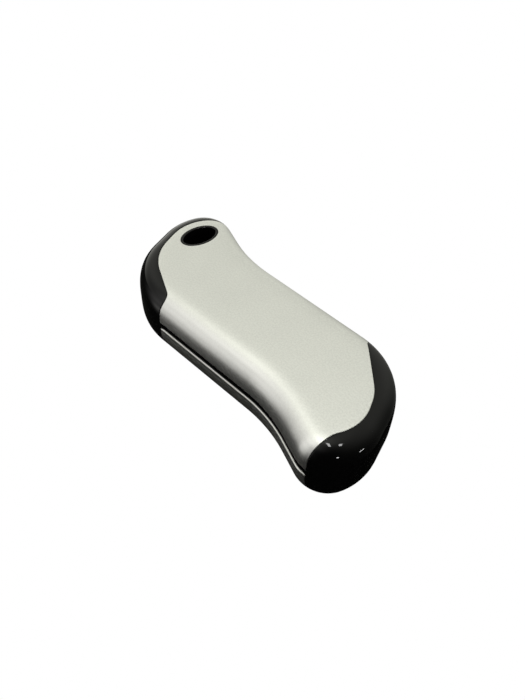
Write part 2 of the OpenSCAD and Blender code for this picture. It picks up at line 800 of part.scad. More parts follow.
// Flat lead from a heater over the bracket's back and down to the board
module flat_lead(drop) {
    t = flat_lead_t;
    w = flat_lead_w;
    r = flat_lead_bend;
    x0 = -heater_l / 2;
    run = bracket_x - heater_l / 2 + 0.9;
    z = heater_top - heater_t;
    along_pack(0, flat_lead_y) {
        box(x0 - run, x0, -w / 2, w / 2, z, z + t);
        translate([x0 - run, 0, z + t - r]) rotate([90, 0, 0]) rotate(90)
            rotate_extrude(angle = 90, $fn = 32) translate([r - t, -w / 2]) square([t, w]);
        box(x0 - run - r, x0 - run - r + t, -w / 2, w / 2, z + t - r - drop, z + t - r);
    }
}

module heater_leads() color([0.85, 0.52, 0.16]) {
    z = heater_top - heater_t + flat_lead_t - flat_lead_bend;
    flat_lead(z - (board_top - mid_z));
    translate([0, 0, body_h]) mirror([0, 0, 1]) flat_lead(z + (board_bottom - mid_z));
}

frame();
top_shell();
bottom_shell();
lanyard_eyelet();
cell_a();
cell_b();
cell_bracket_front();
cell_bracket_rear();
tab_strip_front();
tab_strip_rear();
cell_insulators();
top_heater();
bottom_heater();
top_foam_pad();
bottom_foam_pad();
control_board();
usb_a_socket();
usb_a_tongue();
micro_usb_socket();
micro_usb_tongue();
power_button();
switch_plunger();
tact_switch();
light_pipe();
indicator_leds();
boost_inductor();
board_chips();
board_capacitors();
board_screws();
thermistor();
battery_leads();
heater_leads();
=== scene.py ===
"""Looks of a rechargeable two-sided hand warmer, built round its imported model."""
from math import atan2, copysign, cos, pi, radians, sin, tan

import bmesh
import bpy
import numpy as np
from mathutils import Matrix, Vector


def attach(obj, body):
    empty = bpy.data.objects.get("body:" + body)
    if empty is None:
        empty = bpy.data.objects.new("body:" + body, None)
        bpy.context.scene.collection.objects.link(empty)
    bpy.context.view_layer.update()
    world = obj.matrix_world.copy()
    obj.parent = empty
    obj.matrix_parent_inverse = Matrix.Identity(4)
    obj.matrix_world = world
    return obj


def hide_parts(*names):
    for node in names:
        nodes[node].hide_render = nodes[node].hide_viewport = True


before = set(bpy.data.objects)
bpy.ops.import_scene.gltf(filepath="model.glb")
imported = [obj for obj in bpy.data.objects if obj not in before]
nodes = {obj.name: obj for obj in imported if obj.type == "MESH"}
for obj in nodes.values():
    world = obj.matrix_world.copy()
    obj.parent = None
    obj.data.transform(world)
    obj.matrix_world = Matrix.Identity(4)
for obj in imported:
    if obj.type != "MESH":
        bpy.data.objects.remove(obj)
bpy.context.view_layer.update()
scene = bpy.context.scene

# ---------------------------------------------------------------- sizes, in millimetres
MM = 0.001                       # a millimetre in the scene's metres
BODY_L, BODY_W, BODY_H = 122.9, 48.6, 25.0
MID = BODY_H / 2                 # height of the middle plane
SHOULDER, SQUARE = 11.5, 3.7     # reach of the rounded shoulder, and how square it is
PANEL_T, BAND_H, SEAM, WALL = 0.9, 2.6, 0.08, 2.0
LEDGE, LIP_H = 3.0, 7.2          # ledge under a panel: its width and its height over the middle plane
END_X = BODY_L / 2
CLEAR_Y = BODY_W / 2 + 10        # a line well outside the body
RIM = 0.16                       # rounding of the frame's edge along the seam
BAND_SUNK = 0.38                 # how far the side band lies back behind the panels
PANEL_BEVEL = 0.4                # bright bevel along a panel's lower edges
TURN_IN = 1.1                    # inset at which a panel's side rows end and its top begins
STEP = 0.9                       # mesh step along the outline
S_POINTS = 900                   # points kept along an S edge

# Corners of half the plan outline: x, y and radius. The other half is the same, turned round.
HALF_OUTLINE = [
    (27.1, -18.4, 55.0),
    (END_X - 3.8, -(BODY_W / 2 + 3.0), 12.0),
    (END_X + 1.2, -7.9, 22.5),
    (END_X - 12.3, BODY_W / 2 + 1.7, 28.0),
]
OUTLINE = HALF_OUTLINE + [(-x, -y, r) for x, y, r in HALF_OUTLINE]
# Corners of the shape that cuts both panels out of the skin
PANEL_PLAN = [
    (-END_X + 27.2, -CLEAR_Y, 1.0),
    (END_X - 10.4, -CLEAR_Y, 1.0),
    (END_X - 9.7, -14.6, 8.0),
    (END_X - 5.9, -5.6, 16.3),
    (END_X - 12.5, 6.5, 17.8),
    (END_X - 30.5, 21.3, 4.0),
    (END_X - 28.0, CLEAR_Y, 1.0),
    (-END_X + 12.5, CLEAR_Y, 1.0),
    (-END_X + 13.8, 23.1, 5.0),
    (-END_X + 2.8, 12.8, 17.0),
    (-END_X + 12.9, -10.7, 22.4),
    (-END_X + 36.8, -20.2, 3.9),
]
EYELET_W, EYELET_L, EYELET_WALL = 10.2, 15.8, 1.0
EYELET_PLACE = (Matrix.Translation(((-END_X + 14.5) * MM, 9.0 * MM, 0))
    @ Matrix.Rotation(radians(-3.5), 4, "Z"))
BOARD_TOP = 9.65                 # the circuit board's upper face
USB_MOUTH = (13.1, 5.7, 0.35)    # width, height and corner radius
MICRO_MOUTH = (7.5, 2.7, 0.55)
LIGHT_HOLE_R, LIGHT_LOW, LIGHT_PITCH = 0.65, 0.9, 1.9
USB_AT, MICRO_AT, LIGHTS_AT, BUTTON_AT = 216, 183, 200, 143    # degrees round the wall's arcs
BUTTON_HOLE_R, BUTTON_FLANGE_R, BUTTON_FLANGE_T, BUTTON_BACK = 3.12, 3.8, 0.8, -3.25
BUTTON_DISH = ((0.3, 0.09), (0.5, 0.07), (0.7, 0.04))    # rings inwards and their drops
PACK_X, PACK_Y, PACK_END = 4.0, -0.25, 34.25     # the cell pack's middle, and its end from there
SIDE_RIBS = (-23, -9, 9, 23)                     # places along the cells
REAR_RIBS = ((-12, 20.5), (0, 17.8), (12, 10.6))    # places across the cells, and reach
STOPS = ((-19.3, -15.5), (15.5, 22.3))           # spans across the cells
POST_R, POST_NECK_R, POST_LOW, POST_HIGH, POST_IN = 2.2, 1.7, 4.8, 8.4, 3.8


# ---------------------------------------------------------------- the body's form
def corner_arcs(corners):
    """Centre, radius, start angle, turn and side of each rounded corner."""
    arcs = []
    for i, (x, y, r) in enumerate(corners):
        b = np.array([x, y])
        a = np.array(corners[i - 1][:2])
        c = np.array(corners[(i + 1) % len(corners)][:2])
        u = (b - a) / np.linalg.norm(b - a)
        w = (c - b) / np.linalg.norm(c - b)
        turn = atan2(u[0] * w[1] - u[1] * w[0], float(u @ w))
        side = copysign(1.0, turn)
        start = b - u * r * tan(abs(turn) / 2)
        centre = start + np.array([-u[1], u[0]]) * r * side
        out = start - centre
        arcs.append((centre, r, atan2(out[1], out[0]), turn, side))
    return arcs


def arc_point(arc, share):
    t = arc[2] + arc[3] * share
    return arc[0] + arc[1] * np.array([cos(t), sin(t)])


class Outline:
    """The plan outline, walked by its length from the start of the near waist bend."""

    def __init__(self, corners):
        self.arcs = corner_arcs(corners)
        self.runs = []
        at = 0.0
        for i, arc in enumerate(self.arcs):
            length = abs(arc[1] * arc[3])
            self.runs.append(("arc", at, length, arc))
            at += length
            a, b = arc_point(arc, 1), arc_point(self.arcs[(i + 1) % len(self.arcs)], 0)
            length = float(np.linalg.norm(b - a))
            self.runs.append(("line", at, length, (a, (b - a) / length)))
            at += length
        self.length = at

    def at(self, sigma):
        """Points and outward normals at these lengths."""
        sigma = np.mod(sigma, self.length)
        point = np.zeros(sigma.shape + (2,))
        normal = np.zeros(sigma.shape + (2,))
        for kind, start, length, data in self.runs:
            here = (sigma >= start) & (sigma <= start + length)
            d = sigma[here] - start
            if kind == "arc":
                centre, r, angle, turn, side = data
                t = angle + turn * d / length
                out = np.stack([np.cos(t), np.sin(t)], -1)
                point[here] = centre + r * out
                normal[here] = out * side
            else:
                a, u = data
                point[here] = a + d[:, None] * u
                normal[here] = np.array([u[1], -u[0]])
        return point, normal

    def nearest(self, points):
        """Length along the outline and depth inside it of plan points."""
        best = np.full(len(points), np.inf)
        sigma = np.zeros(len(points))
        depth = np.zeros(len(points))
        for kind, start, length, data in self.runs:
            if kind == "arc":
                centre, r, angle, turn, side = data
                v = points - centre
                dist = np.linalg.norm(v, axis=1)
                swept = (np.arctan2(v[:, 1], v[:, 0]) - angle) * side
                share = np.mod(swept, 2 * pi) / abs(turn)
                inside = share <= 1
                d = side * (r - dist)
                along = share * length
            else:
                a, u = data
                v = points - a
                along = v @ u
                inside = (along >= 0) & (along <= length)
                d = v @ np.array([-u[1], u[0]])
            better = inside & (np.abs(d) < best)
            best[better] = np.abs(d[better])
            sigma[better] = start + along[better]
            depth[better] = d[better]
        return sigma, depth


outline = Outline(OUTLINE)

# Section of the rounded shoulder, walked upwards from the middle plane
_a = (1 - np.cos(np.linspace(0, pi, 6001))) * pi / 4
SEC_IN = SHOULDER * (1 - np.cos(_a).clip(0, 1) ** (2 / SQUARE))
SEC_UP = MID * np.sin(_a).clip(0, 1) ** (2 / SQUARE)
SEC_Q = np.concatenate([[0], np.cumsum(np.hypot(np.diff(SEC_IN), np.diff(SEC_UP)))])
Q_FLAT = SEC_Q[-1]


def rise_between(values, low, high, beyond):
    """How much a section value grows between two lengths, or a set amount past the shoulder."""
    grown = np.interp(high, SEC_Q, values) - np.interp(low, SEC_Q, values)
    return np.where(high > Q_FLAT, beyond, grown)


def section(q):
    """Inset, height and outward and upward parts of the normal, at a length up the section."""
    inset = np.where(q > Q_FLAT, SHOULDER + q - Q_FLAT, np.interp(q, SEC_Q, SEC_IN))
    up = np.interp(q, SEC_Q, SEC_UP)
    low, high = np.clip(q - 0.02, 0, None), q + 0.02
    d_in = rise_between(SEC_IN, low, high, 1.0)
    d_up = rise_between(SEC_UP, low, high, 0.0)
    size = np.hypot(d_in, d_up)
    return inset, up, d_up / size, d_in / size


def q_of_inset(inset):
    inset = np.asarray(inset, float)
    over = Q_FLAT + inset - SHOULDER
    return np.where(inset > SHOULDER, over, np.interp(inset, SEC_IN, SEC_Q))


def q_of_height(up):
    return np.interp(up, SEC_UP, SEC_Q)


def on_body(sigma, q, depth=0.0):
    """Points of the body's upper half, at a depth under its skin, and their normals."""
    sigma, q = np.broadcast_arrays(np.asarray(sigma, float), np.asarray(q, float))
    plan, out = outline.at(sigma)
    inset, up, n_out, n_up = section(q)
    point = np.concatenate([plan - out * inset[..., None], (MID + up)[..., None]], -1)
    normal = np.concatenate([out * n_out[..., None], n_up[..., None]], -1)
    return point - normal * np.asarray(depth)[..., None], normal


def skin_over(plan):
    """The body's upper skin over plan points."""
    sigma, depth = outline.nearest(plan)
    q = q_of_inset(depth.clip(0, None))
    return np.concatenate([plan, (MID + section(q)[1])[:, None]], -1)


# ---------------------------------------------------------------- the panels' S edges
def rounded(corners, step=0.25):
    """Points of a polygon with rounded corners, about a step apart."""
    arcs = corner_arcs(corners)
    points = []
    for i, arc in enumerate(arcs):
        n = max(3, int(abs(arc[1] * arc[3]) / step))
        points += [arc_point(arc, k / n) for k in range(n + 1)]
        a, b = points[-1], arc_point(arcs[(i + 1) % len(arcs)], 0)
        n = max(1, int(np.linalg.norm(b - a) / step))
        points += [a + (b - a) * k / n for k in range(1, n)]
    return np.array(points)


def resample(points, n):
    """n + 1 points evenly along a polyline of any dimension."""
    steps = np.concatenate([[0], np.cumsum(np.linalg.norm(np.diff(points, axis=0), axis=1))])
    at = np.linspace(0, steps[-1], n + 1)
    return np.stack([np.interp(at, steps, points[:, k]) for k in range(points.shape[1])], -1)


class SEdge:
    """One end's S edge, moved towards the panel by a shift: from the near side to the far side at
    the plain end, and from the far side to the near side at the lanyard end."""

    def __init__(self, right, shift=0.0):
        loop = rounded(PANEL_PLAN)
        tangent = np.roll(loop, -1, 0) - np.roll(loop, 1, 0)
        tangent /= np.linalg.norm(tangent, axis=1)[:, None]
        loop = loop + np.stack([-tangent[:, 1], tangent[:, 0]], -1) * shift
        depth = outline.nearest(loop)[1]
        keep = (np.abs(loop[:, 1]) < CLEAR_Y - 2) & (depth > -2) & ((loop[:, 0] > 0) == right)
        self.plan = resample(loop[keep], S_POINTS)
        sigma, self.depth = outline.nearest(self.plan)
        if right:
            sigma = np.where(sigma > outline.length * 0.8, sigma - outline.length, sigma)
        else:
            sigma = np.where(sigma < outline.length * 0.2, sigma + outline.length, sigma)
        self.sigma = sigma
        self.first = int(np.argmax(self.depth > 0))
        self.last = len(self.depth) - 1 - int(np.argmax(self.depth[::-1] > 0))

    def cross(self, inset, start):
        """Place along the edge where it first lies this deep, from its start or its end."""
        if start:
            i = self.first + int(np.argmax(self.depth[self.first:] >= inset))
            j = i - 1
        else:
            i = self.last - int(np.argmax(self.depth[self.last::-1] >= inset))
            j = i + 1
        f = (inset - self.depth[j]) / (self.depth[i] - self.depth[j])
        return j + (i - j) * f

    def point(self, index):
        grid = np.arange(len(self.plan))
        return np.stack([np.interp(index, grid, self.plan[:, k]) for k in (0, 1)], -1)

    def sigma_at(self, index):
        return np.interp(index, np.arange(len(self.plan)), self.sigma)

    def trace(self, q_low, step=0.5):
        """The edge as (length along the outline, length up the section), from wall to wall."""
        top_in = 0.8
        q_top = float(q_of_inset(top_in))
        n = int((q_top - q_low) / step) + 1
        rise = np.linspace(q_low, q_top, n)
        ends = []
        for start in (True, False):
            index = np.array([self.cross(float(section(q)[0]), start) for q in rise])
            ends.append(np.stack([self.sigma_at(index), rise], -1))
        a, b = self.cross(top_in, True), self.cross(top_in, False)
        index = np.linspace(a, b, int((b - a) / S_POINTS * 90) + 2)[1:-1]
        depth = np.interp(index, np.arange(len(self.depth)), self.depth)
        middle = np.stack([self.sigma_at(index), q_of_inset(depth)], -1)
        return np.concatenate([ends[0], middle, ends[1][::-1]])


# ---------------------------------------------------------------- hand tools
def rest():
    """Object mode, with nothing selected."""
    if bpy.context.object is not None and bpy.context.object.mode != "OBJECT":
        bpy.ops.object.mode_set(mode="OBJECT")
    bpy.ops.object.select_all(action="DESELECT")


def take(piece):
    rest()
    piece.select_set(True)
    bpy.context.view_layer.objects.active = piece
    return piece


def settle(piece):
    """Puts a piece's place into its mesh."""
    take(piece)
    bpy.ops.object.transform_apply(location=True, rotation=True, scale=True)
    return piece


def name_piece(name):
    piece = bpy.context.object
    piece.name = piece.data.name = name
    return piece


def modify(piece, kind, **settings):
    """Adds a modifier and applies it."""
    take(piece)
    modifier = piece.modifiers.new(kind.title(), kind)
    for key, value in settings.items():
        setattr(modifier, key, value)
    bpy.ops.object.modifier_apply(modifier=modifier.name)
    return piece


def smooth(piece, degrees=32):
    take(piece)
    bpy.ops.object.shade_smooth_by_angle(angle=radians(degrees))
    return piece


def lay(piece, points):
    """Moves a primitive's vertices, in order, to these points in millimetres."""
    piece.data.vertices.foreach_set("co", (np.asarray(points) * MM).astype(np.float32).ravel())
    piece.data.update()
    return piece


def join(piece, others):
    take(piece)
    for other in others:
        other.select_set(True)
    bpy.ops.object.join()
    return piece


def cut(piece, tool):
    """Takes a tool's space out of a piece, and throws the tool away."""
    modify(piece, "BOOLEAN", object=tool, operation="DIFFERENCE", solver="EXACT")
    bpy.data.objects.remove(tool)
    return piece


def block(name, low, high, place=Matrix.Identity(4)):
    """A plain block between two corners in millimetres, carried to its place."""
    low, high = Vector(low) * MM, Vector(high) * MM
    rest()
    bpy.ops.mesh.primitive_cube_add(size=1, location=(low + high) / 2)
    piece = name_piece(name)
    piece.scale = high - low
    settle(piece)
    piece.data.transform(place)
    return piece


def rod(name, radius, low, high, place=Matrix.Identity(4), sides=64):
    """A round rod along the place's own Z axis."""
    rest()
    bpy.ops.mesh.primitive_cylinder_add(vertices=sides, radius=radius * MM,
        depth=(high - low) * MM, location=(0, 0, (low + high) * MM / 2))
    piece = name_piece(name)
    settle(piece)
    piece.data.transform(place)
    return piece


def moved(piece, place):
    """A copy of a piece with its own mesh, carried to a place."""
    copy = piece.copy()
    copy.data = piece.data.copy()
    scene.collection.objects.link(copy)
    copy.data.transform(place)
    if place.determinant() < 0:
        copy.data.flip_normals()
    return copy


def arc_place(arc, degrees, height=0.0):
    """Place on an arc of the lanyard end's wall: +X points out of it."""
    a = radians(degrees)
    x, y = arc[0] + arc[1] * np.array([cos(a), sin(a)])
    return Matrix.Translation((x * MM, y * MM, height * MM)) @ Matrix.Rotation(a, 4, "Z")


BULGE_ARC, END_ARC, ROUND_ARC = outline.arcs[5:8]
LAST_RUN = outline.runs[-1][3][1]                   # the straight run beside the cells
TILT = atan2(LAST_RUN[1], LAST_RUN[0])


# ---------------------------------------------------------------- metal panels
POLISHED = 0.0030                # share of a row that is the polished rim at an S edge


def across_panel(columns):
    """Shares of the way between the S edges, with a narrow polished rim at each."""
    return np.concatenate([[0], np.linspace(POLISHED, 1 - POLISHED, columns - 1), [1]])


def side_row(q, left, right, columns):
    """One row round a side at a height, between two places on the S edges."""
    return on_body(left + (right - left) * across_panel(columns), np.full(columns + 1, q))[0]


def metal_panel(name):
    """A panel laid on the skin between its S edges, and given the metal's thickness."""
    right, left = SEdge(True), SEdge(False)
    q_low = float(q_of_height(BAND_H / 2 + SEAM))
    q_top = float(q_of_inset(TURN_IN))
    rise = np.linspace(q_low, q_top, 24)
    columns = 132
    near, far = [], []
    for q in rise:
        inset = float(section(q)[0])
        near_left = left.sigma_at(left.cross(inset, False)) - outline.length
        near_right = right.sigma_at(right.cross(inset, True))
        far_right = right.sigma_at(right.cross(inset, False))
        far_left = left.sigma_at(left.cross(inset, True))
        near.append(side_row(q, near_left, near_right, columns))
        far.append(side_row(q, far_left, far_right, columns))
    # between the two sides: an even blend of the four edges in plan, lifted to the skin
    low, high = near[-1][:, :2], far[-1][:, :2]
    rows = 62
    v = np.linspace(0, 1, rows + 1)
    v = v - 0.07 * np.sin(2 * pi * v)      # rows lie closer near the sides
    near_end, far_end = left.cross(TURN_IN, False), left.cross(TURN_IN, True)
    ends_left = left.point(near_end + (far_end - near_end) * v)
    near_end, far_end = right.cross(TURN_IN, True), right.cross(TURN_IN, False)
    ends_right = right.point(near_end + (far_end - near_end) * v)
    u = across_panel(columns)[None, :, None]
    w = v[:, None, None]
    plan = ((1 - u) * ends_left[:, None] + u * ends_right[:, None]
        + (1 - w) * low[None] + w * high[None]
        - (1 - u) * (1 - w) * low[0] - u * (1 - w) * low[-1]
        - (1 - u) * w * high[0] - u * w * high[-1])
    middle = skin_over(plan.reshape(-1, 2)).reshape(rows + 1, columns + 1, 3)
    points = np.concatenate([np.array(near[:-1]), middle, np.array(far[:-1][::-1])])
    rest()
    bpy.ops.mesh.primitive_grid_add(x_subdivisions=columns, y_subdivisions=len(points) - 1, size=1)
    panel = lay(name_piece(name), points.reshape(-1, 3))
    for i, face in enumerate(panel.data.polygons):
        face.material_index = int(i % columns in (0, columns - 1))
    modify(panel, "SOLIDIFY", thickness=PANEL_T * MM, offset=-1, use_even_offset=True)
    return panel


def weigh_edges(panel):
    """Gives the straight lower edges a full bevel and the S edges a narrow one."""
    mesh = bmesh.new()
    mesh.from_mesh(panel.data)
    weight = mesh.edges.layers.float.new("bevel_weight_edge")
    low = (MID + BAND_H / 2 + SEAM + 0.3) * MM
    for edge in mesh.edges:
        if len(edge.link_faces) == 2 and edge.calc_face_angle(0) > radians(50):
            edge[weight] = 1.0 if max(v.co.z for v in edge.verts) < low else 0.7
    mesh.to_mesh(panel.data)
    mesh.free()


def oval_rod(name, grow, low, high):
    """An oval rod round the eyelet's middle."""
    piece = rod(name, 1, low, high, sides=128)
    piece.scale = (EYELET_W / 2 + grow, EYELET_L / 2 + grow, 1)
    settle(piece)
    piece.data.transform(EYELET_PLACE)
    return piece


def eyelet_rim(name, wide, deep):
    """A shallow flaring oval that cuts a bright rim round the eyelet's hole."""
    rest()
    bpy.ops.mesh.primitive_cylinder_add(vertices=128, radius=1.0, depth=1.0)
    piece = name_piece(name)
    points = []
    for x, y, z in [v.co for v in piece.data.vertices]:
        grow, up = (SEAM - wide, -2 * deep) if z < 0 else (SEAM + wide * 3, 2 * deep)
        points.append((x * (EYELET_W / 2 + grow), y * (EYELET_L / 2 + grow), BODY_H + up))
    lay(piece, points)
    piece.data.transform(EYELET_PLACE)
    for face in piece.data.polygons:
        face.material_index = 1
    return piece


top_panel = metal_panel("top_panel")
weigh_edges(top_panel)
modify(top_panel, "BEVEL", width=PANEL_BEVEL * MM, segments=2, limit_method="WEIGHT",
    use_clamp_overlap=False, material=1)
cut(top_panel, oval_rod("eyelet_cutter", SEAM, MID, BODY_H + 2))
cut(top_panel, eyelet_rim("eyelet_rim", 0.38, 0.05))
turned_over = Matrix.Translation((0, 0, BODY_H * MM)) @ Matrix.Diagonal((1, 1, -1, 1))
bottom_panel = moved(top_panel, turned_over)
bottom_panel.name = bottom_panel.data.name = "bottom_panel"
smooth(top_panel)
smooth(bottom_panel)


# ---------------------------------------------------------------- glossy frame
def frame_loop():
    """Stations round the frame: the skin's edge, the ledge's edge, the place on the middle line, and
    how far the side band lies back behind the panels."""
    q_edge = float(q_of_height(BAND_H / 2))
    q_lip = float(q_of_height(LIP_H))
    right, left = SEdge(True, -SEAM), SEdge(False, -SEAM)
    right_in, left_in = SEdge(True, LEDGE), SEdge(False, LEDGE)
    edge, ledge, foot, sunk = [], [], [], []

    def stations(trace, n):
        skin = on_body(trace[:, 0], trace[:, 1])[0]
        steps = np.concatenate([[0], np.cumsum(np.linalg.norm(np.diff(skin, axis=0), axis=1))])
        at = np.linspace(0, steps[-1], n + 1)
        return np.stack([np.interp(at, steps, trace[:, k]) for k in (0, 1)], -1), steps[-1]

    def band(a, b, a_in, b_in):
        n = int((b - a) / STEP)
        edge.append(np.stack([np.linspace(a, b, n + 1), np.full(n + 1, q_edge)], -1)[:-1])
        ledge.append(np.stack([np.linspace(a_in, b_in, n + 1), np.full(n + 1, q_lip)], -1)[:-1])
        foot.append(np.linspace(a, b, n + 1)[:-1])
        way = np.arange(n)
        sunk.append(BAND_SUNK * np.clip(np.minimum(way, n - way) / 2, 0, 1))

    def cap(s_edge, s_in):
        trace = s_edge.trace(q_edge)
        n = int(stations(trace, 10)[1] / STEP)
        edge.append(stations(trace, n)[0][:-1])
        ledge.append(stations(s_in.trace(q_lip), n)[0][:-1])
        foot.append(np.linspace(trace[0, 0], trace[-1, 0], n + 1)[:-1])
        sunk.append(np.zeros(n))

    r, l = right.trace(q_edge), left.trace(q_edge)
    r_in, l_in = right_in.trace(q_lip), left_in.trace(q_lip)
    length = outline.length
    band(l[-1, 0] - length, r[0, 0], l_in[-1, 0] - length, r_in[0, 0])
    cap(right, right_in)
    band(r[-1, 0], l[0, 0], r_in[-1, 0], l_in[0, 0])
    cap(left, left_in)
    return [np.concatenate(part) for part in (edge, ledge, foot, sunk)]


def glossy_frame(name):
    """The moulded ring: its skin, seam and ledge on both sides, and its inner wall."""
    edge, ledge, foot, sunk = frame_loop()
    at, normal = on_body(edge[:, 0], edge[:, 1])
    # direction along the skin, across the edge and towards the panel
    along = np.roll(at, -1, 0) - np.roll(at, 1, 0)
    across = np.cross(normal, along)
    across /= np.linalg.norm(across, axis=1)[:, None]
    path = np.linalg.norm(at - on_body(foot, np.zeros(len(foot)))[0], axis=1)
    share = 1 - RIM / np.maximum(path, BAND_H / 2)
    rows = []
    for w in np.linspace(0, 1, 31)[:-1]:
        f = w * share
        rows.append(on_body(foot + (edge[:, 0] - foot) * f, edge[:, 1] * f)[0])
    for t in np.linspace(0, pi / 2, 5):
        rows.append(at - (across + normal) * RIM + (across * sin(t) + normal * cos(t)) * RIM)
    inward = np.concatenate([outline.at(foot)[1], np.zeros((len(foot), 1))], -1) * -sunk[:, None]
    rows = [row + inward for row in rows]
    under = PANEL_T + 0.05                      # just below the panel
    rows.append(at - normal * under)
    for w in (0.08, 0.3, 0.6, 1.0):
        inner = edge + (ledge - edge) * w
        rows.append(on_body(inner[:, 0], inner[:, 1], under)[0])
    for w in np.linspace(1, 0, 11):
        rows.append(on_body(foot + (ledge[:, 0] - foot) * w, ledge[:, 1] * w, WALL)[0])
    upper = np.array(rows)
    lower = upper[1:-1][::-1].copy()
    lower[..., 2] = BODY_H - lower[..., 2]
    ring = np.concatenate([upper, lower, upper[:1]])
    ring = np.concatenate([ring, ring[:, :1]], 1)
    rest()
    bpy.ops.mesh.primitive_grid_add(x_subdivisions=ring.shape[1] - 1,
        y_subdivisions=ring.shape[0] - 1, size=1)
    piece = lay(name_piece(name), ring.reshape(-1, 3))
    take(piece)
    bpy.ops.object.mode_set(mode="EDIT")
    bpy.ops.mesh.select_all(action="SELECT")
    bpy.ops.mesh.remove_doubles(threshold=1e-6)
    bpy.ops.object.mode_set(mode="OBJECT")
    return piece


def quarter_up(place):
    """The same place with +Z pointing out of the wall, for round rods."""
    return place @ Matrix.Rotation(pi / 2, 4, "Y")


def port_mouth(name, w, h, corner, place):
    """A slot's cutter with rounded long edges, standing on the board's height."""
    tool = block(name, (-5, -w / 2 - 0.05, -0.05), (5, w / 2 + 0.05, h + 0.05), place)
    return modify(tool, "BEVEL", width=corner * MM, segments=3, limit_method="ANGLE")


mid_frame = glossy_frame("glossy_frame")
cut(mid_frame, port_mouth("usb_mouth", *USB_MOUTH, arc_place(ROUND_ARC, USB_AT, BOARD_TOP)))
cut(mid_frame, port_mouth("micro_mouth", *MICRO_MOUTH, arc_place(END_ARC, MICRO_AT, BOARD_TOP)))
for i in range(4):
    up = Matrix.Translation((0, 0, (LIGHT_LOW + LIGHT_PITCH * i) * MM))
    hole = quarter_up(arc_place(END_ARC, LIGHTS_AT, BOARD_TOP) @ up)
    cut(mid_frame, rod("light_hole", LIGHT_HOLE_R, -4, 2, hole, sides=32))
BUTTON_PLACE = quarter_up(arc_place(BULGE_ARC, BUTTON_AT, MID))
cut(mid_frame, rod("button_hole", BUTTON_HOLE_R, -4, 3, BUTTON_PLACE, sides=96))


def softened(piece):
    """Takes the sharpness off a block's edges."""
    return modify(piece, "BEVEL", width=0.2 * MM, segments=2, limit_method="ANGLE")


def frame_inside():
    """Ribs beside and behind the cells, stops over the board and its screw posts."""
    root = float(outline.nearest(np.zeros((1, 2)))[1][0]) - WALL
    middle = Matrix.Translation((0, 0, MID * MM))
    rib = block("side_rib", (-0.7, root - 2.6, 1), (0.7, root + 1, LIP_H))
    for corner in rib.data.vertices:            # its free lower corner is cut back
        if corner.co.y < root * MM and corner.co.z < 2 * MM:
            corner.co.z = 6 * MM
    softened(rib)
    parts = [moved(rib, middle @ Matrix.Diagonal((1, 1, up, 1))
        @ Matrix.Rotation(TILT + turn, 4, "Z") @ Matrix.Translation((x * MM, 0, 0)))
        for up in (1, -1) for turn in (0, pi) for x in SIDE_RIBS]
    bpy.data.objects.remove(rib)
    pack = middle @ Matrix.Rotation(TILT, 4, "Z") @ Matrix.Translation((PACK_X * MM, PACK_Y * MM, 0))
    start = PACK_END + 0.05
    for y, reach in REAR_RIBS:
        rib = block("rear_rib", (start, y - 0.8, -6.3), (start + reach, y + 0.8, 6.3), pack)
        parts.append(softened(rib))
    for low, high in STOPS:
        stop = block("stop", (-PACK_END - 1.4, low, -1.2), (-PACK_END, high, LIP_H - 0.2), pack)
        parts.append(softened(stop))
    for arc, share, way in ((BULGE_ARC, 0, 1.2), (ROUND_ARC, 7 / 9, -1.2)):
        x, y = arc_point((arc[0], arc[1] - POST_IN) + arc[2:], share)
        for radius, shift in ((POST_R, 0), (POST_NECK_R, way / 2), (POST_NECK_R, way)):
            stand = Matrix.Translation((x * MM, (y + shift) * MM, 0))
            parts.append(softened(rod("screw_post", radius, POST_LOW, POST_HIGH, stand, sides=32)))
    return parts


join(mid_frame, frame_inside())
smooth(mid_frame)


# ---------------------------------------------------------------- lanyard eyelet
def lanyard_eyelet(name):
    """An oval tube with a wall and rounded lips."""
    rest()
    bpy.ops.mesh.primitive_cylinder_add(vertices=128, radius=MM, depth=(BODY_H - 0.1) * MM,
        location=(0, 0, MID * MM), end_fill_type="NOTHING")
    piece = name_piece(name)
    piece.scale = (EYELET_W / 2, EYELET_L / 2, 1)
    settle(piece)
    modify(piece, "SOLIDIFY", thickness=EYELET_WALL * MM, offset=-1, use_even_offset=True)
    modify(piece, "BEVEL", width=0.34 * MM, segments=4, limit_method="ANGLE",
        angle_limit=radians(50))
    piece.data.transform(EYELET_PLACE)
    return smooth(piece)


eyelet = lanyard_eyelet("eyelet_liner")


# ---------------------------------------------------------------- power button
def pick_faces(piece, test):
    """In edit mode, selects the faces whose normal passes a test."""
    mesh = bmesh.from_edit_mesh(piece.data)
    for face in mesh.faces:
        face.select_set(test(face.normal))
    mesh.select_flush(True)
    bmesh.update_edit_mesh(piece.data)


